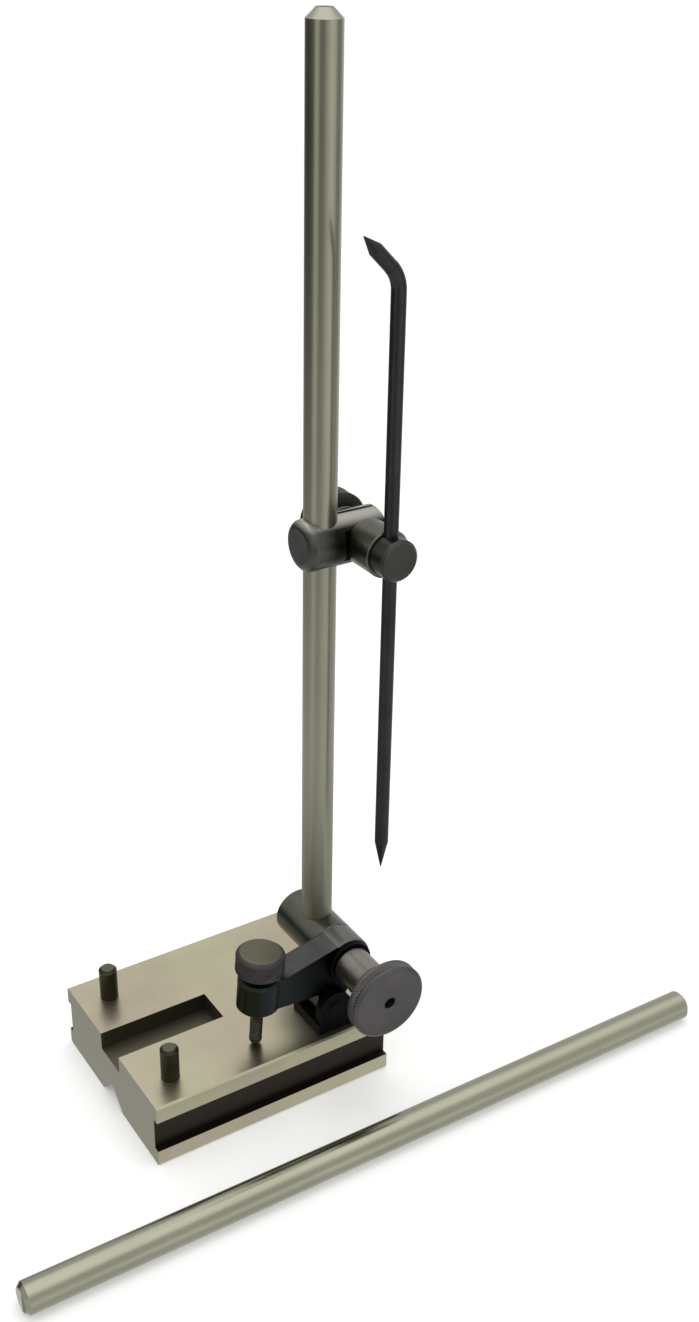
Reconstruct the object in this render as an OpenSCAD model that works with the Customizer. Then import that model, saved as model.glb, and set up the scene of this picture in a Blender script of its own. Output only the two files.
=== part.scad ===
// Surface gauge. A ground steel base carries a rocker that a fine screw tilts. The rocker's hub holds a swivel,
// the swivel holds a tall spindle, and a split clamp on the spindle holds a bent scriber.
// +Z is up and +X runs along the base towards the spindle. The origin is the centre of the base's underside.
// A spare spindle lies on the surface in front of the base.

/* [Base] */
// Length of the base along X
base_l = 81; // [76:1:110]
// Width of the base along Y
base_w = 64; // [60:1:90]
// Height of the base
base_h = 22.2; // [18:0.2:30]
// Width of the slot in the top, which is open at the left end
slot_w = 12.7; // [8:0.1:16]
// Length of the slot
slot_l = 36; // [20:1:42]
// Depth of the slot
slot_d = 6; // [3:0.5:7]
// Depth of the right-angled groove that runs along the underside
vee_d = 7; // [5:0.5:8]
// Depth of the relief milled along each long side
relief_d = 2; // [1:0.5:3]
// Height of that relief
relief_h = 11; // [6:0.5:12]
// Chamfer on the outer edges of the base
base_chamfer = 0.6; // [0.2:0.1:1]

/* [Edge pins] */
// Diameter of the two edge pins
pin_d = 5.7; // [4:0.1:7]
// Height of the raised pins above the base
pin_rise = 11.2; // [10:0.1:20]
// Distance of the pins from the left end
pin_inset = 9.9; // [7:0.1:14]
// Distance between the two pins along Y
pin_spacing = 43; // [36:1:48]

/* [Rocker] */
// Distance of the rocker's middle plane from the front of the base
rocker_inset = 10; // [10:0.5:16]
// Thickness of the rocker along Y
rocker_t = 9; // [7:0.5:10]
// Distance from the pivot to the adjusting screw's axis
rocker_reach = 23.8; // [20:0.1:26]
// Lean of the adjusting screw towards the spindle, in degrees, with the rocker at rest
screw_lean = 4; // [0:0.5:6]
// Diameter of the pivot pin
pivot_d = 5; // [4:0.5:6]
// Thickness of each ear of the pivot bracket
ear_t = 3; // [2:0.5:3.5]
// Thickness of the foot of the pivot bracket
foot_t = 3.6; // [3:0.2:5]
// Diameter of the round boss that the adjusting screw passes through
boss_d = 13; // [10:0.5:15]
// Height of that boss
boss_h = 10.8; // [7:0.1:12]
// Height of the boss's underside above the base, along the screw
boss_rise = 14; // [12:0.2:15]
// Diameter of the adjusting screw
screw_d = 4; // [3:0.5:6]
// Diameter of the knob on the adjusting screw
knob_d = 15; // [12:0.5:18]
// Thickness of that knob
knob_t = 7.2; // [4:0.1:8]
// Outer diameter of the rocker spring
spring_d = 5.6; // [5:0.2:6]
// Wire diameter of the rocker spring
spring_wire = 0.8; // [0.6:0.1:1]
// Number of curls in the rocker spring
spring_curls = 7; // [5:1:9]

/* [Swivel] */
// Distance of the swivel's axis from the right end of the base
swivel_inset = 11.7; // [11.7:0.1:20]
// Distance along X from the pivot to the swivel's axis
swivel_offset = 6.3; // [5:0.1:8]
// Height of the swivel's axis above the base
swivel_rise = 21.7; // [21:0.1:26]
// Outer diameter of the swivel sleeve
sleeve_d = 15.6; // [15:0.1:17]
// Diameter of the swivel bolt's shank
shank_d = 8; // [6:0.5:9]
// Diameter of the knurled swivel nut
nut_d = 24.5; // [18:0.5:26]
// Thickness of the swivel nut
nut_t = 8.6; // [6:0.2:10]
// Length of the collar between the rocker and the swivel nut
collar_l = 13; // [8:0.5:16]
// Diameter of that collar
collar_d = 12; // [11:0.5:14]

/* [Spindles] */
// Diameter of both spindles
spindle_d = 9.5; // [8:0.1:10]
// Length of the upright spindle
spindle_l = 281.5; // [200:0.5:305]
// Length of the spindle below the swivel's axis
spindle_drop = 10.9; // [9:0.1:12]
// Length of the spare spindle
spare_l = 234; // [150:1:305]
// Distance from the front of the base to the middle of the spare spindle
spare_gap = 29; // [10:1:60]

/* [Scriber clamp] */
// Height of the clamp's axis above the underside of the base
clamp_z = 177; // [130:1:250]
// Diameter of the round clamp body
body_d = 15; // [14:0.5:18]
// Distance from the spindle to the clamp bolt
bolt_reach = 11.6; // [10.5:0.1:16]
// Diameter of the clamp bolt's shank
bolt_d = 6; // [4:0.5:6.5]
// Diameter of the clamp bolt's eye
eye_d = 12.2; // [9:0.1:13]
// Diameter of the knurled clamp nut
clamp_nut_d = 18.5; // [14:0.5:22]
// Thickness of the clamp nut
clamp_nut_t = 8; // [5:0.5:10]
// Diameter of the scriber
scriber_d = 4.1; // [3:0.1:5]
// Length of the scriber below the clamp's axis
scriber_down = 102.4; // [60:0.1:110]
// Height of the scriber's bend above the clamp's axis
scriber_up = 76.3; // [40:0.1:90]
// Length of the bent leg
scriber_leg = 15.4; // [12:0.1:25]
// Angle of the bend
scriber_angle = 45; // [20:5:70]

/* [Hidden] */
$fn = 64;

// Radial clearance of everything that slides or turns in a bore
fit = 0.05;
// Gap between flat faces of pieces that turn against each other
face_gap = 0.05;
// Clearance between the rocker and what it moves past
rock_gap = 0.15;
// Radial clearance of screws and pins that don't turn
seat_fit = 0.01;
cut = 1;

pin_x = -base_l / 2 + pin_inset;
rocker_y = -base_w / 2 + rocker_inset;
rocker_front = rocker_y - rocker_t / 2;
rocker_back = rocker_y + rocker_t / 2;
swivel_x = base_l / 2 - swivel_inset;
swivel_z = base_h + swivel_rise;
hub_r = sleeve_d / 2;
pivot_x = swivel_x - swivel_offset;
lug_r = pivot_d / 2 + 1.9;
pivot_z = base_h + foot_t + 0.4 + lug_r;
ear_r = lug_r + 1.1;
ear_gap = rocker_t + 2 * rock_gap;
boss_z = base_h + boss_rise;
screw_tip_gap = 0.1;
tip_r = screw_d / 2;
tip_z = base_h + screw_tip_gap + tip_r;
tip_x = pivot_x - (rocker_reach + (pivot_z - tip_z) * sin(screw_lean)) / cos(screw_lean);
// Heights along the screw, above the centre of its round tip
boss_low = boss_z - tip_z;
boss_top = boss_low + boss_h;
// Step from the boss's ends to the arm
boss_lip = 0.4;
knob_lift = 2.3;
knob_low = boss_top + knob_lift;

foot_left = pivot_x - ear_r - 0.6;
foot_right = pivot_x + ear_r + 2.9;
foot_w = ear_gap + 2 * ear_t;
foot_screw_d = 3;
foot_screw_head_d = 5.5;
foot_screw_head_h = 3;
foot_screw_xs = [foot_left + 3.4, foot_right - 3.4];

spring_x = foot_right + spring_d / 2 + 1.8;
spring_floor = base_h - 9;
tail_z = base_h + 11.3;
tail_pocket = 1.5;
spring_top = tail_z + tail_pocket;

sleeve_wall = 1.45;
sleeve_front_t = 1.5;
sleeve_front = rocker_back + face_gap;
eye_r = hub_r - sleeve_wall;
swivel_eye_front = sleeve_front + sleeve_front_t + 0.3;
eye_wall = 3.3;
spindle_r = spindle_d / 2;
spindle_chamfer = 2.5;
spindle_y = swivel_eye_front + eye_wall + spindle_r + fit;
sleeve_back = spindle_y + spindle_r + 7.5;
swivel_eye_back = sleeve_back + 0.7;
washer_t = 1.4;
collar_back = rocker_front - face_gap - washer_t;
collar_front = collar_back - collar_l;
nut_back = collar_front - face_gap;
nut_front = nut_back - nut_t;
nut_rim_t = nut_t * 0.63;
nut_hub_d = nut_d * 0.69;
nut_face_t = 2;
nut_centre_d = 3.6;

jaw_t = body_d - 3;
slit_w = 1.2;
body_left = spindle_r + 2.2;
body_right = bolt_reach + 6.8;
bolt_x = swivel_x + bolt_reach;
jaw_front = spindle_y - jaw_t / 2;
jaw_back = spindle_y + jaw_t / 2;
scriber_r = scriber_d / 2;
clamp_collar_t = 10.6;
clamp_collar_r = eye_d / 2 + 0.9;
clamp_washer_r = clamp_collar_r - 1;
clamp_collar_front = jaw_front - face_gap - clamp_collar_t;
collar_bite = 0.9;
scriber_y = clamp_collar_front + collar_bite - scriber_r;
clamp_eye_front = scriber_y - scriber_r - 2.8;
clamp_eye_back = clamp_collar_front + 4.5;
clamp_washer_t = (body_d - jaw_t) / 2 + 0.3;
clamp_washer_back = jaw_back + face_gap + clamp_washer_t;
clamp_nut_back = clamp_washer_back + face_gap + clamp_nut_t;
bend_r = 9;
ring_z = base_h * 0.72;
ring_h = 0.8;
ring_groove = 0.75;
curl_steps = 8;
wire_sides = 6;
spare_mid_x = 22.2;
spare_turn = -0.65;
point_l = 9;
leg_point_l = 5;
point_r = 0.15;

pin_colour = [0.16, 0.16, 0.16];
black = [0.2, 0.2, 0.21];
blued = [0.28, 0.28, 0.29];
ground = [0.69, 0.67, 0.58];
bright = [0.55, 0.55, 0.48];
collar_grey = [0.6, 0.6, 0.58];

// A turned bar along +Z with a chamfer at each end.
module turned(r, h, low_chamfer = 0, high_chamfer = 0) {
    rotate_extrude()
        polygon([[0, 0], [r - low_chamfer, 0], [r, low_chamfer], [r, h - high_chamfer],
            [r - high_chamfer, h], [0, h]]);
}

// The same bar along +Y, from y0 to y1, on an axis through x and z.
module turned_y(x, z, y0, y1, r, front_chamfer = 0, back_chamfer = 0) {
    translate([x, y0, z])
        rotate([-90, 0, 0])
            turned(r, y1 - y0, front_chamfer, back_chamfer);
}

// A drilled hole along Y.
module hole_y(x, z, y0, y1, r) {
    translate([x, y0, z])
        rotate([-90, 0, 0])
            cylinder(r = r, h = y1 - y0);
}

// A block between two corners.
module block(low, high) {
    translate(low)
        cube(high - low);
}

// The screw's own frame: its children stand on the centre of its tip, with +Z along the screw.
module on_screw() {
    translate([tip_x, rocker_y, tip_z])
        rotate([0, screw_lean, 0])
            children();
}

// A point in X and Z that lies u to the right of the screw's axis and v above the centre of its tip.
function from_screw(u, v) =
    [tip_x + u * cos(screw_lean) + v * sin(screw_lean), tip_z - u * sin(screw_lean) + v * cos(screw_lean)];

// An outline in X and Z, extruded along Y from y0 to y1.
module plate_y(points, y0, y1) {
    translate([0, y1, 0])
        rotate([90, 0, 0])
            linear_extrude(y1 - y0)
                polygon(points);
}

// The base block, with its long edges chamfered and a relief along each long side.
module base_block() {
    c = base_chamfer;
    half = base_w / 2;
    relief_low = (base_h - relief_h) / 2;
    relief_high = relief_low + relief_h;
    rotate([90, 0, 90])
        translate([0, 0, -base_l / 2])
            linear_extrude(base_l)
                polygon([[-half + c, 0], [half - c, 0], [half, c], [half, relief_low],
                    [half - relief_d, relief_low], [half - relief_d, relief_high], [half, relief_high],
                    [half, base_h - c], [half - c, base_h], [-half + c, base_h], [-half, base_h - c],
                    [-half, relief_high], [-half + relief_d, relief_high], [-half + relief_d, relief_low],
                    [-half, relief_low], [-half, c]]);
}

module base() {
    color(ground)
        difference() {
            base_block();
            block([-base_l / 2 - cut, -slot_w / 2, base_h - slot_d],
                [-base_l / 2 + slot_l, slot_w / 2, base_h + cut]);
            rotate([90, 0, 90])
                translate([0, 0, -base_l / 2 - cut])
                    linear_extrude(base_l + 2 * cut)
                        polygon([[-vee_d - cut, -cut], [vee_d + cut, -cut], [0, vee_d]]);
            for (side = [-1, 1])
                translate([pin_x, side * pin_spacing / 2, -cut])
                    cylinder(r = pin_d / 2 + fit, h = base_h + 2 * cut);
            for (x = foot_screw_xs) {
                translate([x, rocker_y, -cut])
                    cylinder(r = foot_screw_d / 2 + 0.1, h = base_h + 2 * cut);
                translate([x, rocker_y, -cut])
                    cylinder(r = foot_screw_head_d / 2 + 0.2, h = cut + foot_screw_head_h + 0.6);
            }
            translate([spring_x, rocker_y, spring_floor])
                cylinder(r = spring_d / 2 + 0.4, h = base_h);
        }
}

// An edge pin, with a rounded top and a groove for its friction ring.
module edge_pin(side) {
    r = pin_d / 2;
    color(pin_colour)
        translate([pin_x, side * pin_spacing / 2, 0])
            difference() {
                translate([0, 0, 0.5])
                    turned(r, base_h + pin_rise - 0.5, 0.4, 0.9);
                translate([0, 0, ring_z - 0.05])
                    difference() {
                        cylinder(r = r + cut, h = ring_h + 0.1);
                        translate([0, 0, -cut])
                            cylinder(r = r - ring_groove, h = ring_h + 2 * cut);
                    }
            }
}

module edge_pin_front() {
    edge_pin(-1);
}

module edge_pin_back() {
    edge_pin(1);
}

// The open spring ring that makes a pin stay where it is pushed.
module pin_ring(side) {
    r = pin_d / 2;
    color(bright)
        translate([pin_x, side * pin_spacing / 2, ring_z])
            difference() {
                cylinder(r = r + fit - 0.02, h = ring_h);
                translate([0, 0, -cut])
                    cylinder(r = r - ring_groove + 0.05, h = ring_h + 2 * cut);
                block([0, -0.8, -cut], [r + cut, 0.8, ring_h + cut]);
            }
}

module pin_ring_front() {
    pin_ring(-1);
}

module pin_ring_back() {
    pin_ring(1);
}

module pivot_bracket() {
    color(black)
        difference() {
            union() {
                block([foot_left, rocker_y - foot_w / 2, base_h],
                    [foot_right, rocker_y + foot_w / 2, base_h + foot_t]);
                for (y = [rocker_y - foot_w / 2, rocker_y + ear_gap / 2]) {
                    turned_y(pivot_x, pivot_z, y, y + ear_t, ear_r);
                    block([pivot_x - ear_r, y, base_h + foot_t / 2], [pivot_x + ear_r, y + ear_t, pivot_z]);
                }
            }
            hole_y(pivot_x, pivot_z, rocker_y - foot_w, rocker_y + foot_w, pivot_d / 2 + seat_fit);
            for (x = foot_screw_xs)
                translate([x, rocker_y, base_h - cut])
                    cylinder(r = foot_screw_d / 2 + seat_fit, h = foot_t + 2 * cut);
        }
}

module bracket_screws() {
    head_z = 0.6;
    color(black)
        for (x = foot_screw_xs)
            translate([x, rocker_y, head_z])
                difference() {
                    union() {
                        turned(foot_screw_head_d / 2, foot_screw_head_h, 0.4, 0);
                        cylinder(r = foot_screw_d / 2, h = base_h + foot_t - head_z - 0.3);
                    }
                    translate([0, 0, -cut])
                        cylinder(d = 2.9, h = cut + 1.6, $fn = 6);
                }
}

module rocker_pivot_pin() {
    color(bright)
        turned_y(pivot_x, pivot_z, rocker_y - foot_w / 2 - 0.4, rocker_y + foot_w / 2 + 0.4,
            pivot_d / 2, 0.4, 0.4);
}

// The rocker: a round boss for the screw, an arm that rises to the swivel hub, a lug on the pivot and a tail
// over the spring.
module rocker_arm() {
    boss_r = boss_d / 2;
    arm_low = boss_low + boss_lip;
    arm_high = boss_top - boss_lip;
    tail_right = spring_x + spring_d / 2 + 1.2;
    color(blued)
        difference() {
            union() {
                on_screw()
                    translate([0, 0, boss_low])
                        turned(boss_r, boss_h, 0.8, 0.8);
                turned_y(swivel_x, swivel_z, rocker_front, rocker_back, hub_r, 0.6, 0.3);
                turned_y(pivot_x, pivot_z, rocker_front, rocker_back, lug_r);
                plate_y([from_screw(0, arm_low), from_screw(swivel_x - tip_x, arm_low),
                    [swivel_x, swivel_z + hub_r * 0.5],
                    [swivel_x - hub_r * 0.5, swivel_z + hub_r * 0.866], from_screw(boss_r - 1, arm_high),
                    from_screw(0, arm_high)], rocker_front, rocker_back);
                plate_y([[pivot_x - lug_r, pivot_z], [pivot_x + lug_r, pivot_z], [swivel_x, tail_z],
                    [tail_right, tail_z], [tail_right, tail_z + 5], [swivel_x, swivel_z],
                    [pivot_x - lug_r, boss_z + 1]], rocker_front, rocker_back);
            }
            hole_y(swivel_x, swivel_z, rocker_front - cut, rocker_back + cut, shank_d / 2 + fit);
            hole_y(pivot_x, pivot_z, rocker_front - cut, rocker_back + cut, pivot_d / 2 + fit);
            on_screw()
                translate([0, 0, boss_low - cut])
                    cylinder(r = tip_r + fit, h = boss_h + 2 * cut);
            translate([spring_x, rocker_y, tail_z - cut])
                cylinder(r = spring_d / 2 + 0.3, h = tail_pocket + cut);
        }
}

// The rocker spring is one tube swept along a helix, with flat closed ends.
coil_r = (spring_d - spring_wire) / 2;
spring_low = spring_floor + spring_wire / 2 + 0.05;
spring_high = spring_top - spring_wire / 2 - 0.05;
helix_steps = spring_curls * curl_steps;
function helix_point(i) =
    let (a = 360 * i / curl_steps)
    [coil_r * cos(a), coil_r * sin(a), spring_low + (spring_high - spring_low) * i / helix_steps];
function helix_ring(i) =
    let (a = 360 * i / curl_steps, c = helix_point(i))
    [for (k = [0 : wire_sides - 1])
        let (b = 360 * k / wire_sides)
        c + spring_wire / 2 * [cos(b) * cos(a), cos(b) * sin(a), sin(b)]];
helix_points = [for (i = [0 : helix_steps]) each helix_ring(i)];
side_faces = [for (i = [0 : helix_steps - 1], k = [0 : wire_sides - 1])
    let (a = i * wire_sides + k, b = i * wire_sides + (k + 1) % wire_sides, c = a + wire_sides, d = b + wire_sides)
    each [[a, c, b], [b, c, d]]];
last_ring = helix_steps * wire_sides;
end_faces = [for (k = [1 : wire_sides - 2])
    each [[0, k, k + 1], [last_ring, last_ring + k + 1, last_ring + k]]];
spring_gap = min([for (i = [0 : helix_steps - curl_steps], k = [curl_steps - 3 : curl_steps + 3])
    i + k > helix_steps ? 100 : norm(helix_point(i) - helix_point(i + k)) - spring_wire]);
echo(least_spring_gap = spring_gap);

module rocker_spring() {
    color(bright)
        translate([spring_x, rocker_y, 0])
            polyhedron(helix_points, concat(side_faces, end_faces));
}

// The screw that raises the rocker's end. Its round tip stands on the base.
module adjusting_screw() {
    color(blued)
        on_screw() {
            sphere(r = tip_r);
            cylinder(r = tip_r, h = knob_low + knob_t - 1);
        }
}

module adjusting_knob() {
    color(black)
        on_screw()
            translate([0, 0, knob_low])
                difference() {
                    turned(knob_d / 2, knob_t, 0.8, 1);
                    translate([0, 0, -cut])
                        cylinder(r = tip_r + fit, h = knob_t - 1 + fit + cut);
                }
}

// The sleeve takes the spindle through its side, and its closed front end bears on the rocker's hub.
module swivel_sleeve() {
    color(blued)
        difference() {
            turned_y(swivel_x, swivel_z, sleeve_front, sleeve_back, hub_r, 0.3, 0.6);
            hole_y(swivel_x, swivel_z, sleeve_front + sleeve_front_t, sleeve_back + cut, eye_r + fit);
            hole_y(swivel_x, swivel_z, sleeve_front - cut, sleeve_back, shank_d / 2 + fit);
            translate([swivel_x, spindle_y, swivel_z - hub_r - cut])
                cylinder(r = spindle_r + fit, h = 2 * hub_r + 2 * cut);
        }
}

// The eye bolt inside the sleeve. The nut draws it forward, and its eye pinches the spindle in the sleeve.
module swivel_bolt() {
    color(black)
        difference() {
            union() {
                turned_y(swivel_x, swivel_z, swivel_eye_front, swivel_eye_back, eye_r, 0.5, 1.2);
                turned_y(swivel_x, swivel_z, nut_front + nut_face_t + 0.3, swivel_eye_front + cut,
                    shank_d / 2, 0.6, 0);
            }
            translate([swivel_x, spindle_y, swivel_z - hub_r])
                cylinder(r = spindle_r + fit, h = 2 * hub_r);
        }
}

module swivel_washer() {
    color(collar_grey)
        difference() {
            turned_y(swivel_x, swivel_z, collar_back, collar_back + washer_t, hub_r - 0.6, 0.2, 0.2);
            hole_y(swivel_x, swivel_z, collar_back - cut, rocker_front, shank_d / 2 + fit);
        }
}

module swivel_collar() {
    color(collar_grey)
        difference() {
            turned_y(swivel_x, swivel_z, collar_front, collar_back, collar_d / 2, 0.5, 0.5);
            hole_y(swivel_x, swivel_z, collar_front - cut, collar_back + cut, shank_d / 2 + fit);
        }
}

// The swivel nut: a wide knurled rim in front of a smaller hub.
module swivel_nut() {
    color(black)
        difference() {
            union() {
                turned_y(swivel_x, swivel_z, nut_front, nut_front + nut_rim_t, nut_d / 2, 1, 0.8);
                turned_y(swivel_x, swivel_z, nut_front + nut_rim_t - cut, nut_back, nut_hub_d / 2, 0, 0.5);
            }
            hole_y(swivel_x, swivel_z, nut_front + nut_face_t, nut_back + cut, shank_d / 2 + fit);
            hole_y(swivel_x, swivel_z, nut_front - cut, nut_back, nut_centre_d / 2);
        }
}

module spindle() {
    color(bright)
        translate([swivel_x, spindle_y, swivel_z - spindle_drop])
            turned(spindle_r, spindle_l, 1, spindle_chamfer);
}

// The clamp's body is a round bar along X, slit from the spindle's bore to its right end.
module clamp_body() {
    r = body_d / 2;
    left = swivel_x - body_left;
    right = swivel_x + body_right;
    flat_left = bolt_x - clamp_collar_r - 0.4;
    round_r = 2.4;
    color(blued)
        difference() {
            translate([left, spindle_y, clamp_z])
                rotate([0, 90, 0])
                    rotate_extrude()
                        polygon(concat([[0, 0]],
                            [for (a = [0 : 18 : 90]) [r - round_r + round_r * sin(a), round_r - round_r * cos(a)]],
                            [[r, right - left - 0.8], [r - 0.8, right - left], [0, right - left]]));
            for (side = [[-r - cut, -jaw_t / 2], [jaw_t / 2, r + cut]])
                block([flat_left, spindle_y + side[0], clamp_z - r - cut],
                    [right + cut, spindle_y + side[1], clamp_z + r + cut]);
            translate([swivel_x, spindle_y, clamp_z - r - cut])
                cylinder(r = spindle_r + fit, h = 2 * r + 2 * cut);
            block([swivel_x, spindle_y - slit_w / 2, clamp_z - r - cut],
                [right + cut, spindle_y + slit_w / 2, clamp_z + r + cut]);
            hole_y(bolt_x, clamp_z, jaw_front - cut, jaw_back + cut, bolt_d / 2 + fit);
        }
}

// The eye bolt that holds the scriber, draws the collar on it and closes the clamp's body.
module clamp_bolt() {
    color(black)
        difference() {
            union() {
                turned_y(bolt_x, clamp_z, clamp_eye_front, clamp_eye_back, eye_d / 2, 0.8, 0.3);
                turned_y(bolt_x, clamp_z, clamp_eye_back - cut, clamp_nut_back - 1, bolt_d / 2, 0, 0.5);
            }
            translate([bolt_x, scriber_y, clamp_z - eye_d])
                cylinder(r = scriber_r + fit, h = 2 * eye_d);
        }
}

module clamp_collar() {
    color(collar_grey)
        difference() {
            turned_y(bolt_x, clamp_z, clamp_collar_front, jaw_front - face_gap, clamp_collar_r, 0.3, 0.3);
            hole_y(bolt_x, clamp_z, clamp_collar_front - cut, clamp_eye_back + 0.5, eye_d / 2 + fit);
            hole_y(bolt_x, clamp_z, clamp_eye_back, jaw_front + cut, bolt_d / 2 + fit);
            translate([bolt_x, scriber_y, clamp_z - eye_d])
                cylinder(r = scriber_r + fit, h = 2 * eye_d);
        }
}

module clamp_washer() {
    color(collar_grey)
        difference() {
            turned_y(bolt_x, clamp_z, jaw_back + face_gap, clamp_washer_back, clamp_washer_r, 0.2, 0.2);
            hole_y(bolt_x, clamp_z, jaw_back - cut, clamp_washer_back + cut, bolt_d / 2 + fit);
        }
}

module clamp_nut() {
    color(black)
        difference() {
            turned_y(bolt_x, clamp_z, clamp_washer_back + face_gap, clamp_nut_back, clamp_nut_d / 2, 0.8, 1);
            hole_y(bolt_x, clamp_z, clamp_washer_back - cut, clamp_nut_back + cut, bolt_d / 2 + fit);
        }
}

// The scriber: a straight rod with a cone at its lower end, a bend, and a short leg with a cone.
module scriber() {
    arc_z = clamp_z + scriber_up - bend_r * tan(scriber_angle / 2);
    low_z = clamp_z - scriber_down;
    leg_l = scriber_leg - bend_r * tan(scriber_angle / 2) - leg_point_l;
    leg_r = scriber_r - 0.06;
    leg_overlap = 0.5;
    color(pin_colour)
        translate([bolt_x, scriber_y, 0]) {
            translate([0, 0, low_z])
                cylinder(r1 = point_r, r2 = scriber_r, h = point_l);
            translate([0, 0, low_z + point_l])
                cylinder(r = scriber_r, h = arc_z - low_z - point_l);
            translate([-bend_r, 0, arc_z])
                rotate([90, 0, 0]) {
                    rotate_extrude(angle = scriber_angle)
                        translate([bend_r, 0])
                            circle(r = scriber_r);
                    rotate([0, 0, scriber_angle])
                        translate([bend_r, -leg_overlap, 0])
                            rotate([-90, 0, 0]) {
                                cylinder(r = leg_r, h = leg_l + leg_overlap);
                                translate([0, 0, leg_l + leg_overlap])
                                    cylinder(r1 = leg_r, r2 = point_r, h = leg_point_l);
                            }
                }
        }
}

// The spare spindle lies on the same surface as the base.
module spare_spindle() {
    color(bright)
        translate([spare_mid_x, -base_w / 2 - spare_gap, spindle_r])
            rotate([0, 90, spare_turn])
                translate([0, 0, -spare_l / 2])
                    turned(spindle_r, spare_l, 1.2, 1.2);
}

base();
edge_pin_front();
edge_pin_back();
pin_ring_front();
pin_ring_back();
pivot_bracket();
bracket_screws();
rocker_pivot_pin();
rocker_arm();
rocker_spring();
adjusting_screw();
adjusting_knob();
swivel_sleeve();
swivel_bolt();
swivel_washer();
swivel_collar();
swivel_nut();
spindle();
clamp_body();
clamp_bolt();
clamp_collar();
clamp_washer();
clamp_nut();
scriber();
spare_spindle();
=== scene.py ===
import math

import bmesh
import bpy
from mathutils import Matrix, Vector


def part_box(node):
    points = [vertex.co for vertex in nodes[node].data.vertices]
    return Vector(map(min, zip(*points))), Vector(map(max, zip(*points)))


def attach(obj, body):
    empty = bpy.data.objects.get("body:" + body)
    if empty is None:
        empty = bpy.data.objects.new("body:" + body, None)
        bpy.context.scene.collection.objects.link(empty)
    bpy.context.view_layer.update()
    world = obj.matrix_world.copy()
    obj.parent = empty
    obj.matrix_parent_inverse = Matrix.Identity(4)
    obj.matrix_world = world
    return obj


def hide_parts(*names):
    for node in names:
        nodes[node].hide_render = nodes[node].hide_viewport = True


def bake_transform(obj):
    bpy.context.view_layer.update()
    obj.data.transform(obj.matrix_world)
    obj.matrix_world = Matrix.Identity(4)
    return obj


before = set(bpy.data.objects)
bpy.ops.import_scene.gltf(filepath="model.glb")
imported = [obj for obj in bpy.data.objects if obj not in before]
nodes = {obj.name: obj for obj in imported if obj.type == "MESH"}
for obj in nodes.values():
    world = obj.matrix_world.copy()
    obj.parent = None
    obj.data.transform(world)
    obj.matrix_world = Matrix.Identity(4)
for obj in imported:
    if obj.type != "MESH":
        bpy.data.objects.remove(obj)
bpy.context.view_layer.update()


# ---------------------------------------------------------------- Base
# A block of steel, milled and then ground bright on its top, ends and side bands. The side reliefs and the groove
# underneath keep a darker milled surface. The slot's dark colour is painted shade, and the ends are painted darker
# as shade.

def put(tree, kind, sockets=(), **settings):
    """Adds a node, sets its options, and gives each named socket a value or a link."""
    node = tree.nodes.new(kind)
    for key, value in settings.items():
        setattr(node, key, value)
    for key, value in dict(sockets).items():
        if isinstance(value, bpy.types.NodeSocket):
            tree.links.new(value, node.inputs[key])
        else:
            node.inputs[key].default_value = value
    return node


def place_in_piece(tree):
    """The X, Y and Z of a point in the piece, as three sockets."""
    return put(tree, "ShaderNodeSeparateXYZ", {0: put(tree, "ShaderNodeTexCoord").outputs["Object"]}).outputs


def compute(tree, operation, *values):
    """One step of arithmetic on one or two masks or values."""
    return put(tree, "ShaderNodeMath", enumerate(values), operation=operation).outputs[0]


def fade(tree, value, start, full):
    """A mask that is 0 up to start and 1 from full on."""
    limits = {"Value": value, "From Min": start, "From Max": full}
    return put(tree, "ShaderNodeMapRange", limits).outputs["Result"]


def mix_colours(tree, mask, before, colour, blend="MIX"):
    """A colour or a colour socket mixed into another where the mask is 1."""
    sockets = {0: mask, 6: before, 7: colour}
    return put(tree, "ShaderNodeMix", sockets, data_type="RGBA", blend_type=blend).outputs[2]


def group_of(name, inputs, outputs):
    """A new shader node group with its sockets, and its input and output nodes."""
    tree = bpy.data.node_groups.new(name, "ShaderNodeTree")
    for label, kind, value in inputs:
        tree.interface.new_socket(label, in_out="INPUT", socket_type=kind).default_value = value
    for label, kind in outputs:
        tree.interface.new_socket(label, in_out="OUTPUT", socket_type=kind)
    return tree, tree.nodes.new("NodeGroupInput"), tree.nodes.new("NodeGroupOutput")


def make_tool_marks():
    """Fine marks drawn out in one direction, and soft blotches of the size of a fingertip."""
    tree, given, result = group_of(
        "tool_marks",
        [("Stretch", "NodeSocketVector", (1, 1, 1)), ("Fine", "NodeSocketFloat", 2500.0),
         ("Coarse", "NodeSocketFloat", 90.0)],
        [("Marks", "NodeSocketFloat"), ("Blotches", "NodeSocketFloat")])
    place = put(tree, "ShaderNodeTexCoord").outputs["Object"]
    drawn = put(tree, "ShaderNodeVectorMath", {0: place, 1: given.outputs["Stretch"]}, operation="MULTIPLY")
    marks = put(tree, "ShaderNodeTexNoise", {"Vector": drawn.outputs[0], "Scale": given.outputs["Fine"],
                                             "Detail": 4.0, "Roughness": 0.65})
    blotches = put(tree, "ShaderNodeTexNoise", {"Vector": place, "Scale": given.outputs["Coarse"],
                                                "Detail": 3.0, "Roughness": 0.55})
    tree.links.new(marks.outputs["Fac"], result.inputs["Marks"])
    tree.links.new(fade(tree, blotches.outputs["Fac"], 0.3, 0.7), result.inputs["Blotches"])
    return tree


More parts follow.
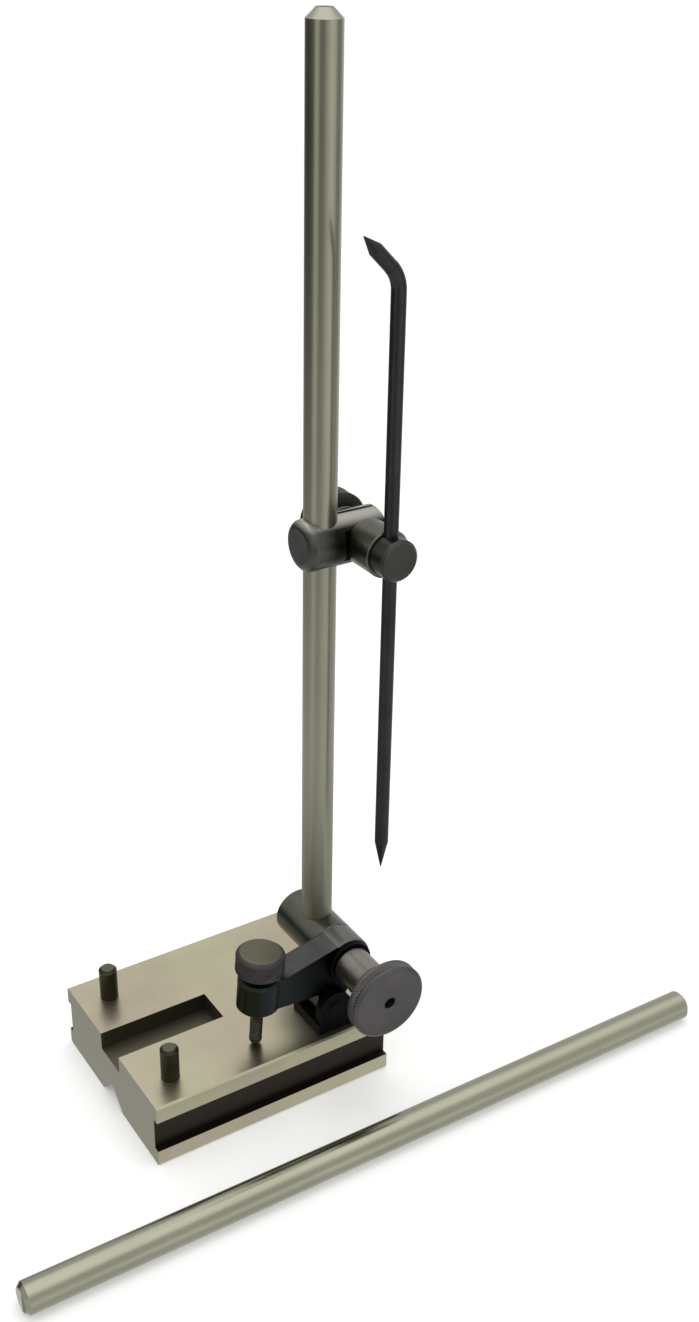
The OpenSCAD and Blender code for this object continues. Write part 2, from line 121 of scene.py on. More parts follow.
def make_edge_wear():
    """A mask of the outside edges, broken up as rubbing breaks them up."""
    tree, _, result = group_of("edge_wear", [], [("Wear", "NodeSocketFloat")])
    rounded = put(tree, "ShaderNodeBevel", {"Radius": 0.0005}, samples=4)
    flat = put(tree, "ShaderNodeNewGeometry")
    turn = put(tree, "ShaderNodeVectorMath", {0: rounded.outputs["Normal"], 1: flat.outputs["Normal"]},
               operation="DOT_PRODUCT")
    edge = fade(tree, turn.outputs["Value"], 0.985, 0.86)
    place = put(tree, "ShaderNodeTexCoord").outputs["Object"]
    broken = put(tree, "ShaderNodeTexNoise", {"Vector": place, "Scale": 700.0, "Detail": 3.0})
    patches = fade(tree, broken.outputs["Fac"], 0.35, 0.62)
    tree.links.new(compute(tree, "MULTIPLY", edge, patches), result.inputs["Wear"])
    return tree


tool_marks = make_tool_marks()
edge_wear = make_edge_wear()


def steel(name, colour, roughness, stretch=(1, 1, 1), fine=2500.0, coarse=90.0, blotch=0.08, mark=0.06,
          depth=0.000004, sheen_spread=0.06, worn=None, wear_amount=0.6):
    """A metal with its marks and blotches in colour, roughness and height, and worn edges where worn is given."""
    material = bpy.data.materials.new(name)
    material.use_nodes = True
    tree = material.node_tree
    shader = tree.nodes["Principled BSDF"]
    shader.inputs["Metallic"].default_value = 1.0
    shader.inputs["IOR"].default_value = 2.2
    marks = put(tree, "ShaderNodeGroup", node_tree=tool_marks)
    marks.inputs["Stretch"].default_value = stretch
    marks.inputs["Fine"].default_value = fine
    marks.inputs["Coarse"].default_value = coarse
    low = [c * (1 - blotch) for c in colour] + [1]
    high = [c * (1 + blotch) for c in colour] + [1]
    tint = mix_colours(tree, marks.outputs["Blotches"], low, high)
    grain = put(tree, "ShaderNodeMapRange", {"Value": marks.outputs["Marks"], "From Min": 0.25, "From Max": 0.75,
                                             "To Min": 1 - mark, "To Max": 1 + mark})
    grained = put(tree, "ShaderNodeVectorMath", {0: tint, 3: grain.outputs["Result"]}, operation="SCALE")
    colour_out = grained.outputs[0]
    if worn:
        wear = put(tree, "ShaderNodeGroup", node_tree=edge_wear)
        amount = compute(tree, "MULTIPLY", wear.outputs["Wear"], wear_amount)
        colour_out = mix_colours(tree, amount, colour_out, list(worn) + [1])
    tree.links.new(colour_out, shader.inputs["Base Color"])
    rough = put(tree, "ShaderNodeMapRange", {"Value": marks.outputs["Marks"], "From Min": 0.2, "From Max": 0.8,
                                             "To Min": roughness - sheen_spread,
                                             "To Max": roughness + sheen_spread})
    tree.links.new(rough.outputs["Result"], shader.inputs["Roughness"])
    bump = put(tree, "ShaderNodeBump", {"Strength": 1.0, "Distance": depth, "Height": marks.outputs["Marks"]})
    tree.links.new(bump.outputs["Normal"], shader.inputs["Normal"])
    return material


def finish(name, material):
    """Puts a material on a CAD node."""
    slots = nodes[name].data.materials
    if len(slots) == 0:
        slots.append(material)
    for i in range(len(slots)):
        slots[i] = material


def recolour(material, mask, colour, blend="MIX"):
    """Mixes a colour into the material's own where the mask is 1."""
    tree = material.node_tree
    socket = tree.nodes["Principled BSDF"].inputs["Base Color"]
    tree.links.new(mix_colours(tree, mask, socket.links[0].from_socket, colour, blend), socket)


def roughen(material, mask, roughness):
    """Gives the material another roughness where the mask is 1."""
    tree = material.node_tree
    socket = tree.nodes["Principled BSDF"].inputs["Roughness"]
    sockets = {0: mask, 2: socket.links[0].from_socket, 3: roughness}
    tree.links.new(put(tree, "ShaderNodeMix", sockets, data_type="FLOAT").outputs[0], socket)


def drift_in_hue(material, warm, cool, scale):
    """Lets the colour wander softly between a warmer and a cooler tone, as handled steel does."""
    tree = material.node_tree
    place = put(tree, "ShaderNodeTexCoord").outputs["Object"]
    clouds = put(tree, "ShaderNodeTexNoise", {"Vector": place, "Scale": scale, "Detail": 2.0, "Roughness": 0.5})
    tone = mix_colours(tree, fade(tree, clouds.outputs["Fac"], 0.36, 0.64), warm, cool)
    recolour(material, 1.0, tone, "MULTIPLY")


def paint_recess_shade_and_milled_colour(material):
    """Gives the side reliefs and the groove their milled colour, and paints shade into the slot and onto the ends,
    by their place in the block.
    """
    low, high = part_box("base")
    tree = material.node_tree
    x, y, z = place_in_piece(tree)
    y = compute(tree, "ABSOLUTE", y)
    # the sizes of the recesses, as they are in the CAD part, and how near to a face still counts as on it
    slot_half, slot_end, slot_depth = 0.00635, 0.0360, 0.006
    relief_deep, relief_tall = 0.002, 0.011
    groove_deep = 0.007
    skin = 0.00003
    milled_roughness = 0.5
    middle = (low.z + high.z) / 2

    def inside(*tests):
        """A mask of the points for which each value is above or below its limit."""
        mask = 1.0
        for value, side, limit in tests:
            mask = compute(tree, "MULTIPLY", mask, compute(tree, side, value, limit))
        return mask

    # the two end faces, which are painted darker than the top as painted shade
    end = inside((compute(tree, "ABSOLUTE", x), "GREATER_THAN", high.x - skin))
    relief = inside((y, "GREATER_THAN", high.y - relief_deep - skin),
                    (z, "GREATER_THAN", middle - relief_tall / 2 - skin),
                    (z, "LESS_THAN", middle + relief_tall / 2 + skin))
    # the slot, whose dark colour is painted shade
    slot = inside((y, "LESS_THAN", slot_half + skin), (x, "LESS_THAN", low.x + slot_end + skin),
                  (z, "GREATER_THAN", high.z - slot_depth - skin), (z, "LESS_THAN", high.z - skin))
    groove = inside((compute(tree, "ADD", y, z), "LESS_THAN", groove_deep + skin))
    # the ends' darker colour and the slot's colour are painted shade; the reliefs and the groove get their milled
    # colour
    for mask, colour in ((end, (0.335, 0.325, 0.25, 1)), (relief, (0.035, 0.028, 0.022, 1)),
                         (slot, (0.115, 0.105, 0.078, 1)), (groove, (0.05, 0.045, 0.036, 1))):
        recolour(material, mask, colour)
        roughen(material, mask, milled_roughness)


ground_steel = steel("ground_steel", (0.445, 0.412, 0.300), 0.32, stretch=(0.02, 1, 0.3), fine=4200.0, coarse=38.0,
                     blotch=0.08, mark=0.035, depth=0.0000012, worn=(0.52, 0.5, 0.41), wear_amount=0.4)
drift_in_hue(ground_steel, warm=(1.0, 0.955, 0.985, 1), cool=(0.955, 1.0, 0.93, 1), scale=34.0)
paint_recess_shade_and_milled_colour(ground_steel)
finish("base", ground_steel)


# ---------------------------------------------------------------- Edge pins
# Two pins of blackened steel that push down through the base to guide it along an edge. A sprung ring in a groove
# on each makes it stay up or down.

def tone_along(material, axis, start, full, colour):
    """Turns the colour to another one along X, Y or Z: not before start, and wholly from full on."""
    tree = material.node_tree
    recolour(material, fade(tree, place_in_piece(tree)[axis], start, full), colour)


pin_black = steel("pin_black", (0.036, 0.034, 0.022), 0.36, stretch=(1, 1, 0.2), fine=1800.0, blotch=0.2,
                  worn=(0.2, 0.2, 0.17), wear_amount=0.3)
# the pins' top faces are painted a lighter olive, a painted highlight
pin_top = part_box("edge_pin_front")[1].z
pin_top_highlight_start, pin_top_highlight_full = pin_top - 0.00007, pin_top - 0.00003
tone_along(pin_black, "Z", pin_top_highlight_start, pin_top_highlight_full, (0.105, 0.108, 0.072, 1))
ring_steel = steel("ring_steel", (0.38, 0.38, 0.34), 0.3)
for side in ("front", "back"):
    finish("edge_pin_" + side, pin_black)
    finish("pin_ring_" + side, ring_steel)


# ---------------------------------------------------------------- Pivot bracket
# A bracket with two ears, screwed to the base from below. It is blackened, and so is the pin between its ears on
# which the rocker turns; their near-black colour is the blackening deepened with painted shade.

# near-black: blackening deepened with painted shade, for the shade under the arm
bracket_black_painted_shade = steel("bracket_black_painted_shade", (0.005, 0.005, 0.006), 0.60, blotch=0.2, worn=(0.10, 0.10, 0.10),
                      wear_amount=0.25)
for name in ("pivot_bracket", "bracket_screws", "rocker_pivot_pin"):
    finish(name, bracket_black_painted_shade)


# ---------------------------------------------------------------- Rocker arm
# One forged and machined arm with a hub, a boss and a tail, blackened all over. Its broad faces are darker than
# its edges and blackest beside the hub in painted shade; it is greyer towards the hub; its boss end is painted
# shade.

def blacken_broad_faces(material, node, far_colour, hub_painted_shade):
    """The flat faces along the node's front and back are painted darker and bluer, and blackest beside the hub,
    where the black is painted shade.
    """
    low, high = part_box(node)
    tree = material.node_tree
    place = place_in_piece(tree)
    flat_half = 0.0045
    edge_round = 0.0004
    tone_start, tone_full = 0.006, 0.019
    away = compute(tree, "ABSOLUTE", compute(tree, "SUBTRACT", place["Y"], (low.y + high.y) / 2))
    flat = mix_colours(tree, fade(tree, place["X"], tone_start, tone_full), far_colour, hub_painted_shade)
    recolour(material, fade(tree, away, flat_half - edge_round, flat_half - 0.00005), flat)


arm_black = steel("arm_black", (0.066, 0.065, 0.066), 0.40, fine=1300.0, blotch=0.14, mark=0.10,
                  worn=(0.22, 0.22, 0.22), wear_amount=0.25)
arm_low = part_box("rocker_arm")[0]
hub_start, hub_full = 0.0200, 0.0255
boss_shade_start, boss_shade_full = arm_low.x + 0.0052, arm_low.x + 0.0030
tone_along(arm_black, "X", hub_start, hub_full, (0.150, 0.146, 0.136, 1))
# broad faces painted darker and bluer; beside the hub their black is painted shade
blacken_broad_faces(arm_black, "rocker_arm", (0.021, 0.026, 0.027, 1), (0.005, 0.006, 0.006, 1))
# the boss end's dark olive is painted shade on its left side
tone_along(arm_black, "X", boss_shade_start, boss_shade_full, (0.020, 0.021, 0.013, 1))
finish("rocker_arm", arm_black)


# ---------------------------------------------------------------- Rocker spring
# A compression spring of drawn wire, in a pocket of the base under the arm's tail. It is one wire of seven turns
# with its ends against the two pockets.

def stand_for(node, slot, name, mesh, *materials, sharp=32):
    """Makes a finished bmesh an object that is shown in place of a CAD node."""
    bmesh.ops.recalc_face_normals(mesh, faces=mesh.faces)
    data = bpy.data.meshes.new(name)
    mesh.to_mesh(data)
    mesh.free()
    data.shade_smooth()
    data.set_sharp_from_angle(angle=math.radians(sharp))
    for material in materials:
        data.materials.append(material)
    piece = bpy.data.objects.new(name, data)
    bpy.context.scene.collection.objects.link(piece)
    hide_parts(node)
    return piece


def coil_spring(box, wire, turns, steps_per_turn):
    """A wire of round section, spun up a helix that fills the box."""
    low, high = box
    centre = (low + high) / 2
    coil = (high.x - low.x - wire) / 2
    rise = high.z - low.z - wire
    mesh = bmesh.new()
    bmesh.ops.create_circle(mesh, cap_ends=False, segments=12, radius=wire / 2)
    bmesh.ops.rotate(mesh, verts=mesh.verts, cent=(0, 0, 0), matrix=Matrix.Rotation(math.pi / 2, 3, "X"))
    bmesh.ops.translate(mesh, verts=mesh.verts, vec=(coil, 0, 0))
    steps = turns * steps_per_turn
    bmesh.ops.spin(mesh, geom=mesh.edges[:], cent=(0, 0, 0), axis=(0, 0, 1), dvec=(0, 0, rise / steps),
                   angle=2 * math.pi * turns, steps=steps, use_duplicate=False)
    bmesh.ops.holes_fill(mesh, edges=[e for e in mesh.edges if e.is_boundary], sides=0)
    bmesh.ops.translate(mesh, verts=mesh.verts, vec=(centre.x, centre.y, low.z + wire / 2))
    return mesh


wire_thick, spring_turns = 0.0008, 7
spring_wire = steel("spring_wire", (0.30, 0.30, 0.28), 0.28, fine=2000.0)
spring_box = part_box("rocker_spring")
spring = stand_for("rocker_spring", "spring_steel", "wound_spring",
                   coil_spring(spring_box, wire_thick, spring_turns, 28), spring_wire, sharp=180)
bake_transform(spring)


# ---------------------------------------------------------------- Adjusting screw
# A fine-pitch screw of blackened steel. It runs through the arm's boss, leaning a little towards the spindle, and
# its rounded tip stands on the base.

def turned(profile, segments):
    """A turned shape about +Z: a profile of radius and height, spun once round."""
    mesh = bmesh.new()
    points = [mesh.verts.new((r, 0, h)) for r, h in profile]
    lines = [mesh.edges.new(pair) for pair in zip(points, points[1:])]
    bmesh.ops.spin(mesh, geom=points + lines, cent=(0, 0, 0), axis=(0, 0, 1), angle=2 * math.pi,
                   steps=segments, use_merge=True, use_duplicate=False)
    bmesh.ops.remove_doubles(mesh, verts=mesh.verts, dist=0.000001)
    return mesh


def threaded_screw(radius, length, pitch, depth):
    """A screw with its thread cut by a helix, a round tip with its lowest point at z = 0, and a plain top."""
    segments, rings_per_turn = 32, 6
    rings = round((length - radius) / pitch * rings_per_turn)
    step = (length - radius) / rings
    tip = [(radius * math.sin(a * math.pi / 12), radius - radius * math.cos(a * math.pi / 12)) for a in range(6)]
    mesh = turned(tip + [(radius, radius + i * step) for i in range(rings + 1)] + [(0, length)], segments)
    for vert in mesh.verts:
        r = vert.co.to_2d().length
        if vert.co.z <= radius or r < radius * 0.9:
            continue
        phase = (vert.co.z / pitch - math.atan2(vert.co.y, vert.co.x) / (2 * math.pi)) % 1
        run_in = min(1, (vert.co.z - radius) / pitch)
        vert.co.xy = vert.co.xy * (1 - depth * run_in * (1 - abs(2 * phase - 1)) / r)
    return mesh


def lean_on_tip(mesh):
    """Leans a shape made about +Z, with the middle of the screw's tip at the origin, and sets it on the base."""
    bmesh.ops.rotate(mesh, verts=mesh.verts, cent=(0, 0, 0), matrix=Matrix.Rotation(screw_lean, 3, "Y"))
    bmesh.ops.translate(mesh, verts=mesh.verts, vec=screw_tip)
    return mesh


screw_lean = math.radians(4)
thread_pitch, thread_depth = 0.0007, 0.00035
screw_low, screw_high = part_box("adjusting_screw")
screw_radius = (screw_high.y - screw_low.y) / 2
screw_tip = Vector((screw_low.x + screw_radius, (screw_low.y + screw_high.y) / 2, screw_low.z + screw_radius))
screw_length = screw_radius + (screw_high.z - screw_tip.z
                               - screw_radius * math.sin(screw_lean)) / math.cos(screw_lean)
screw = threaded_screw(screw_radius, screw_length, thread_pitch, thread_depth)
bmesh.ops.translate(screw, verts=screw.verts, vec=(0, 0, -screw_radius))
screw_black = steel("screw_black", (0.045, 0.042, 0.030), 0.42, worn=(0.12, 0.12, 0.10), wear_amount=0.3)
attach(stand_for("adjusting_screw", "black_steel", "threaded_screw", lean_on_tip(screw), screw_black),
        "fine_screw")


# ---------------------------------------------------------------- Adjusting knob
# A turned knob with a diamond knurl pressed round its rim, chamfered above and below the knurl. The screw is fixed
# in it. Its top is painted lighter and browner than its knurled wall as painted light, and its worn edge is partly
# a painted highlight.

def knurled(profile_low, profile_high, radius, low, high, teeth, depth=0.00024):
    """A turned wheel with a diamond knurl from low to high: alternate points of the rim are pressed in."""
    segments = 2 * teeth
    pitch = 2 * math.pi * radius / segments
    rows = max(2, 2 * round((high - low) / pitch / 2))
    rim = [(radius, low + (high - low) * i / rows) for i in range(rows + 1)]
    mesh = turned(profile_low + rim + profile_high, segments)
    pressed = []
    for vert in mesh.verts:
        r = vert.co.to_2d().length
        row = (vert.co.z - low) / (high - low) * rows
        if r < radius * 0.999 or row < 0.5 or row > rows - 0.5:
            continue
        tooth = round(math.atan2(vert.co.y, vert.co.x) / (2 * math.pi) * segments)
        if (tooth + round(row)) % 2:
            vert.co.xy = vert.co.xy * (radius - depth) / radius
            pressed.append(vert)
    bmesh.ops.connect_verts(mesh, verts=pressed)
    return mesh


knob_low, knob_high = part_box("adjusting_knob")
knob_radius = (knob_high.y - knob_low.y) / 2
knob_height = 0.0072
knob_foot = 0.0250
knob_bore = screw_radius + 0.00005
knob_chamfer = 0.0013
knob = knurled([(knob_bore, 0.0), (knob_radius - 0.0011, 0.0), (knob_radius - 0.0003, 0.0004),
                (knob_radius, 0.0010)],
               [(knob_radius - 0.0002, knob_height - 0.0009), (knob_radius - 0.0011, knob_height - 0.00015),
                (knob_radius - 0.0016, knob_height), (0, knob_height)],
               knob_radius, knob_chamfer, knob_height - knob_chamfer, teeth=44, depth=0.00022)
rim_inside = knob_radius - 0.0009
for face in knob.faces:
    if face.calc_center_median().to_2d().length > rim_inside:
        face.material_index = 1
bmesh.ops.translate(knob, verts=knob.verts, vec=(0, 0, knob_foot))
# the top's lighter colour is painted light; its worn edges are wear and a painted highlight
knob_top_painted_light = steel("knob_top_painted_light", (0.128, 0.124, 0.084), 0.5, fine=1400.0, blotch=0.12,
                   worn=(0.26, 0.26, 0.23), wear_amount=0.5)
knurl_black = steel("knurl_black", (0.062, 0.058, 0.060), 0.5, fine=1400.0, blotch=0.12,
                    worn=(0.24, 0.24, 0.21), wear_amount=0.12)
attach(stand_for("adjusting_knob", "black_steel", "knurled_knob", lean_on_tip(knob), knob_top_painted_light, knurl_black),
        "fine_knob")


# ---------------------------------------------------------------- Swivel
# A sleeve on the rocker's hub holds the spindle through its side, and an eye bolt inside it pinches the spindle
# when the nut is turned. Both are blackened, and the sleeve's outside is smooth enough to shine along its length.

sleeve_black = steel("sleeve_black", (0.100, 0.100, 0.084), 0.32, stretch=(1, 0.15, 1), fine=1200.0, blotch=0.16,
                     worn=(0.28, 0.28, 0.26), wear_amount=0.35)
finish("swivel_sleeve", sleeve_black)
black_oxide = steel("black_oxide", (0.075, 0.075, 0.078), 0.42, fine=1500.0, blotch=0.14, mark=0.12,
                    worn=(0.3, 0.3, 0.29), wear_amount=0.4)
finish("swivel_bolt", black_oxide)


# ---------------------------------------------------------------- Swivel washer and collar
# A blackened washer against the hub, and between it and the nut a collar of bare turned steel, with the rings
# that turning leaves.

turned_steel = steel("turned_steel", (0.205, 0.195, 0.168), 0.40, stretch=(0.2, 1, 0.2), fine=2200.0, blotch=0.14,
                     mark=0.1, depth=0.000004)
# the washer takes the bracket's near-black, which is deepened with painted shade
finish("swivel_washer", bracket_black_painted_shade)
finish("swivel_collar", turned_steel)


# ---------------------------------------------------------------- Swivel nut
# A wide thin knurled rim in front of a smaller hub, turned from one bar and blackened. A small hole in the middle
# of its face shows the end of the bolt.

def lay_along_y(mesh, axis_x, axis_z, front):
    """Turns a shape made along +Z so that its low end faces -Y, at y = front."""
    bmesh.ops.rotate(mesh, verts=mesh.verts, cent=(0, 0, 0), matrix=Matrix.Rotation(-math.pi / 2, 3, "X"))
    bmesh.ops.translate(mesh, verts=mesh.verts, vec=(axis_x, front, axis_z))
    return mesh


nut_low, nut_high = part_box("swivel_nut")
nut_radius = (nut_high.x - nut_low.x) / 2
nut_length = nut_high.y - nut_low.y
rim_length = nut_length * 0.63
nut_hub = nut_radius * 0.69
nut_bore = 0.00405
eye_radius, face_thick = 0.0018, 0.0020
knurl_front, knurl_back = 0.0011, rim_length - 0.0010
nut = knurled([(nut_bore, face_thick), (eye_radius, face_thick), (eye_radius, 0.0003), (eye_radius + 0.0003, 0.0),
               (nut_radius - 0.0016, 0.0), (nut_radius - 0.0009, 0.0002), (nut_radius - 0.0002, 0.0008)],
              [(nut_radius - 0.0004, rim_length - 0.0006), (nut_radius - 0.0009, rim_length - 0.0001),
               (nut_hub + 0.0004, rim_length), (nut_hub, rim_length + 0.0004), (nut_hub, nut_length - 0.0005),
               (nut_hub - 0.0005, nut_length), (nut_bore, nut_length), (nut_bore, face_thick)],
              nut_radius, knurl_front, knurl_back, teeth=72)
lay_along_y(nut, (nut_low.x + nut_high.x) / 2, (nut_low.z + nut_high.z) / 2, nut_low.y)
nut_black = steel("nut_black", (0.105, 0.10, 0.10), 0.46, fine=1300.0, blotch=0.10, mark=0.06,
                  worn=(0.24, 0.24, 0.23), wear_amount=0.12)
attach(stand_for("swivel_nut", "black_steel", "knurled_swivel_nut", nut, nut_black), "swivel_nut")


# ---------------------------------------------------------------- Spindle
# A bar of ground and polished steel with a wide chamfer at its top. It stands in the swivel and carries the clamp,
# and handling and the swivel's grip have left its foot duller than the rest.

def bar_steel(name, node, axis, roughness):
    """Ground and polished bar, with faint streaks drawn out along it and darker, rougher ends."""
    stretch = [0.012 if letter == axis else 1 for letter in "XYZ"]
    material = steel(name, (0.300, 0.298, 0.228), roughness, stretch=stretch, fine=900.0, coarse=26.0, blotch=0.05,
                     mark=0.045, depth=0.0000002, sheen_spread=0.03, worn=(0.42, 0.42, 0.35), wear_amount=0.2)
    low, high = (corner["XYZ".index(axis)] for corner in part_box(node))
    tree = material.node_tree
    away = compute(tree, "ABSOLUTE", compute(tree, "SUBTRACT", place_in_piece(tree)[axis], (low + high) / 2))
    skin = 0.00003
    end = compute(tree, "GREATER_THAN", away, (high - low) / 2 - skin)
    recolour(material, end, (0.155, 0.150, 0.118, 1))
    roughen(material, end, 0.5)
    return material


def dull_foot(material, start, full, roughness):
    """Makes an upright bar duller towards its foot: not above start, and wholly from full down."""
    tree = material.node_tree
    roughen(material, fade(tree, place_in_piece(tree)["Z"], start, full), roughness)


upright_steel = bar_steel("upright_steel", "spindle", "Z", 0.31)
dull_foot(upright_steel, start=0.115, full=0.062, roughness=0.55)
finish("spindle", upright_steel)


# ---------------------------------------------------------------- Scriber clamp
# A short round bar, bored for the spindle and slit up to it, with flats for the bolt's collar and nut. It is
# blackened after machining, with painted shade beside the collar and a painted highlight along its top.

clamp_black = steel("clamp_black", (0.078, 0.078, 0.070), 0.36, fine=1300.0, blotch=0.18, mark=0.12,
                    worn=(0.26, 0.26, 0.24), wear_amount=0.4)
clamp_low, clamp_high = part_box("clamp_body")
clamp_middle = (clamp_low.z + clamp_high.z) / 2
collar_shade_start, collar_shade_full = clamp_low.x + 0.0040, clamp_low.x + 0.0085
top_highlight_start, top_highlight_full = clamp_middle + 0.0052, clamp_high.z - 0.0002
# painted shade beside the collar, then a painted highlight along the top
tone_along(clamp_black, "X", collar_shade_start, collar_shade_full, (0.018, 0.017, 0.012, 1))
tone_along(clamp_black, "Z", top_highlight_start, top_highlight_full, (0.34, 0.335, 0.30, 1))
finish("clamp_body", clamp_black)


# ---------------------------------------------------------------- Clamp bolt, collar and washer
# The eye bolt holds the scriber, and its round head is blackened. The collar that bites on the scriber and the
# washer under the nut are turned steel with a thin dark oxide.

bolt_black = steel("bolt_black", (0.052, 0.052, 0.048), 0.38, fine=1400.0, blotch=0.16,
                   worn=(0.26, 0.26, 0.24), wear_amount=0.35)
finish("clamp_bolt", bolt_black)
collar_black = steel("collar_black", (0.120, 0.116, 0.098), 0.30, stretch=(0.2, 1, 0.2), fine=1800.0, blotch=0.14,
                     mark=0.1, worn=(0.3, 0.3, 0.27), wear_amount=0.35)
finish("clamp_collar", collar_black)
finish("clamp_washer", collar_black)


# ---------------------------------------------------------------- Clamp nut
# A knurled nut behind the clamp, turned from bar and blackened. The bolt's end shows in its bore, and turning it
# grips the scriber and the spindle together.

small_low, small_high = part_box("clamp_nut")
small_radius = (small_high.x - small_low.x) / 2
small_length = small_high.y - small_low.y
small_bore = 0.00305
knurl_front, knurl_back = 0.0010, small_length - 0.0013
clamp_nut = knurled([(small_bore, 0.0), (small_radius - 0.0012, 0.0), (small_radius - 0.0003, 0.0005)],
                    [(small_radius - 0.0002, small_length - 0.0008), (small_radius - 0.0012, small_length),
                     (small_bore + 0.0004, small_length), (small_bore, small_length - 0.0004), (small_bore, 0.0)],
                    small_radius, knurl_front, knurl_back, teeth=54)
lay_along_y(clamp_nut, (small_low.x + small_high.x) / 2, (small_low.z + small_high.z) / 2, small_low.y)
small_nut_black = steel("small_nut_black", (0.036, 0.034, 0.027), 0.44, fine=1500.0, blotch=0.14, mark=0.12,
                        worn=(0.22, 0.22, 0.2), wear_amount=0.3)
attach(stand_for("clamp_nut", "black_steel", "knurled_clamp_nut", clamp_nut, small_nut_black), "clamp_nut")


# ---------------------------------------------------------------- Scriber
# A rod of hardened dark steel, drawn and then ground to a point at each end. Its upper leg is bent over, and the
# clamp's eye bolt holds it upright.

scriber_black = steel("scriber_black", (0.042, 0.039, 0.043), 0.38, stretch=(1, 1, 0.2), fine=1600.0, blotch=0.15,
                      worn=(0.14, 0.14, 0.13), wear_amount=0.3)
finish("scriber", scriber_black)


# ---------------------------------------------------------------- Spare spindle
# A second, shorter bar of the same ground and polished steel, chamfered at both ends. It lies loose on the
# surface in front of the base.

finish("spare_spindle", bar_steel("lying_steel", "spare_spindle", "X", 0.24))


# ---------------------------------------------------------------- Floor, light and camera
# A white floor and soft light from all round, with one soft lamp overhead. Polished steel also sees a banded
# surround at floor level, as it would in a room, which gives the bars their upright stripes.

def white_floor():
    """A wide sheet of matt white paper, lifted a little where the camera sees it, so that it meets the world."""
    mesh = bmesh.new()
    bmesh.ops.create_grid(mesh, x_segments=1, y_segments=1, size=12)
    data = bpy.data.meshes.new("floor")
    mesh.to_mesh(data)
    mesh.free()
    paper = bpy.data.materials.new("white_paper")
    paper.use_nodes = True
    tree = paper.node_tree
    shader = tree.nodes["Principled BSDF"]
    shader.inputs["Base Color"].default_value = (0.94, 0.94, 0.935, 1)
    shader.inputs["Roughness"].default_value = 0.9
    shader.inputs["Specular IOR Level"].default_value = 0.0
    shader.inputs["Emission Color"].default_value = (1, 1, 0.995, 1)
    lift_seen = 0.22
    lift = compute(tree, "MULTIPLY", put(tree, "ShaderNodeLightPath").outputs["Is Camera Ray"], lift_seen)
    tree.links.new(lift, shader.inputs["Emission Strength"])
    data.materials.append(paper)
    floor = bpy.data.objects.new("floor", data)
    bpy.context.scene.collection.objects.link(floor)
    floor.visible_glossy = False


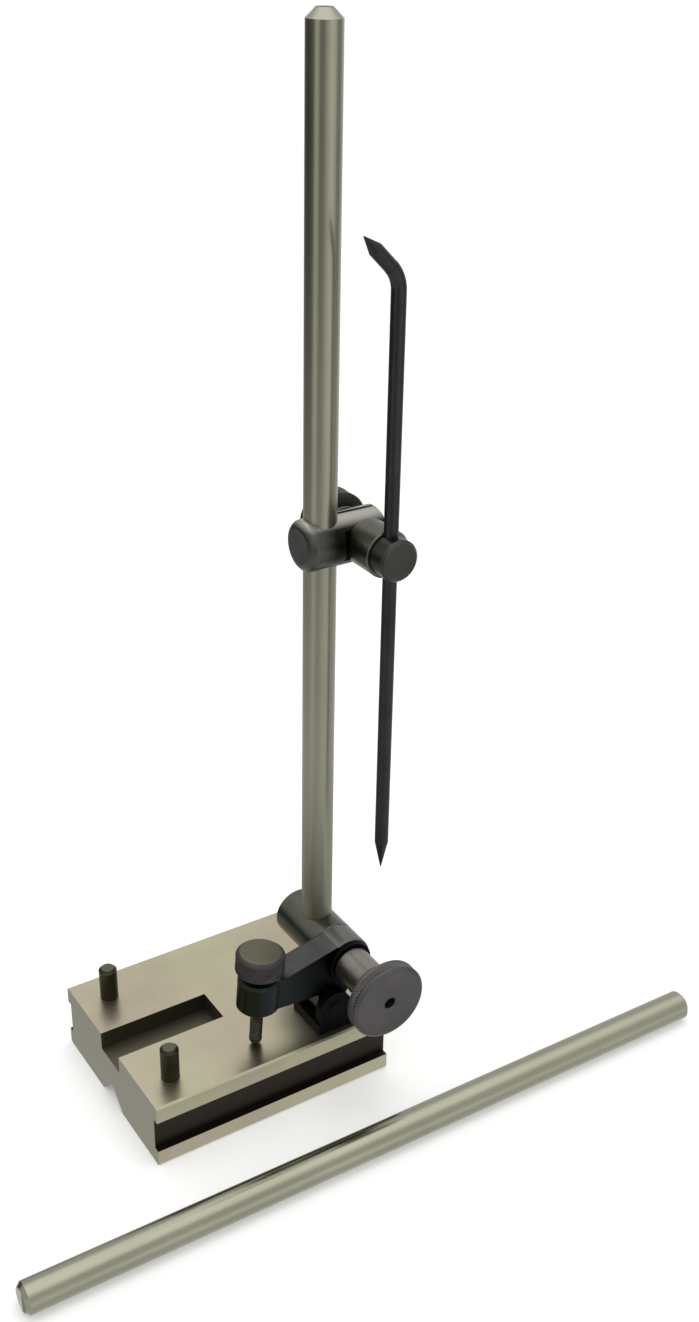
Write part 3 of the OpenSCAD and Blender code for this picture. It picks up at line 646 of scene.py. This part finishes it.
def soft_world():
    """Plain soft light, white to the camera, with a banded surround near the horizon for polished steel."""
    world = bpy.data.worlds.new("studio")
    bpy.context.scene.world = world
    world.use_nodes = True
    tree = world.node_tree
    background = tree.nodes["Background"]
    rays = put(tree, "ShaderNodeLightPath")
    towards = put(tree, "ShaderNodeSeparateXYZ", {0: put(tree, "ShaderNodeTexCoord").outputs["Generated"]}).outputs
    turn = compute(tree, "ARCTAN2", towards["Y"], towards["X"])
    bands = put(tree, "ShaderNodeValToRGB", {"Fac": fade(tree, turn, -math.pi, math.pi)})
    ramp = bands.color_ramp
    # each band's middle, in degrees round from the front direction, and its brightness
    front = -123.0
    levels = [(-172, 0.70), (-150, 0.30), (-122, 0.03), (-74, 0.03), (-54, 0.70), (-38, 1.1), (-20, 0.15),
              (-2, 0.15), (22, 0.80), (52, 1.3), (75, 0.95), (90, 0.35), (110, 0.35), (135, 0.9), (172, 0.9)]
    placed = sorted(((front + offset + 180) % 360 / 360, level) for offset, level in levels)
    ramp.elements[1].position = placed[-1][0]
    ramp.elements[0].position = placed[0][0]
    for position, level in placed[1:-1]:
        ramp.elements.new(position)
    for element, (position, level) in zip(ramp.elements, placed):
        element.color = (level, level, level, 1)
    plain_level, overhead_level = 0.86, 1.8
    plain = compute(tree, "MAXIMUM", fade(tree, towards["Z"], 0.0, 0.2), fade(tree, towards["Z"], -0.22, -0.56))
    overhead = put(tree, "ShaderNodeMapRange", {"Value": towards["Z"], "From Min": 0.62, "From Max": 0.9,
                                                "To Min": plain_level, "To Max": overhead_level})
    surround = mix_colours(tree, plain, bands.outputs["Color"], overhead.outputs["Result"])
    glossy = mix_colours(tree, rays.outputs["Is Glossy Ray"], (plain_level, plain_level, plain_level, 1), surround)
    seen = mix_colours(tree, rays.outputs["Is Camera Ray"], glossy, (1, 1, 1, 1))
    tree.links.new(seen, background.inputs["Color"])


def soft_lamp(name, place, aim, size, watts):
    """A round lamp at a place, turned to the point it is aimed at, that polished steel doesn't mirror."""
    lamp = bpy.data.lights.new(name, "AREA")
    lamp.shape = "DISK"
    lamp.size = size
    lamp.energy = watts
    item = bpy.data.objects.new(name, lamp)
    bpy.context.scene.collection.objects.link(item)
    item.location = place
    item.visible_glossy = False
    item.rotation_euler = (Vector(aim) - Vector(place)).to_track_quat("-Z", "Y").to_euler()


def camera():
    """The photograph's camera: place in metres, turn to the right of +Y, tilt down and roll, in degrees."""
    place = Vector((-0.18066, -0.34600, 0.34901))
    yaw, pitch, roll = (math.radians(a) for a in (33.024, 27.713, 1.104))
    ahead = Vector((math.sin(yaw) * math.cos(pitch), math.cos(yaw) * math.cos(pitch), -math.sin(pitch)))
    level = Vector((math.cos(yaw), -math.sin(yaw), 0))
    upright = level.cross(ahead)
    right = math.cos(roll) * level + math.sin(roll) * upright
    up = -math.sin(roll) * level + math.cos(roll) * upright
    data = bpy.data.cameras.new("camera")
    data.sensor_width = 36
    data.lens = 42.469
    data.clip_start = 0.01
    data.clip_end = 100
    item = bpy.data.objects.new("camera", data)
    bpy.context.scene.collection.objects.link(item)
    item.matrix_world = Matrix(((right.x, up.x, -ahead.x, place.x), (right.y, up.y, -ahead.y, place.y),
                                (right.z, up.z, -ahead.z, place.z), (0, 0, 0, 1)))
    bpy.context.scene.camera = item


white_floor()
soft_world()
soft_lamp("overhead", place=(0.12, -0.05, 1.1), aim=(0.03, -0.03, 0.0), size=0.55, watts=2.0)
camera()
bpy.context.scene.view_settings.view_transform = "Standard"
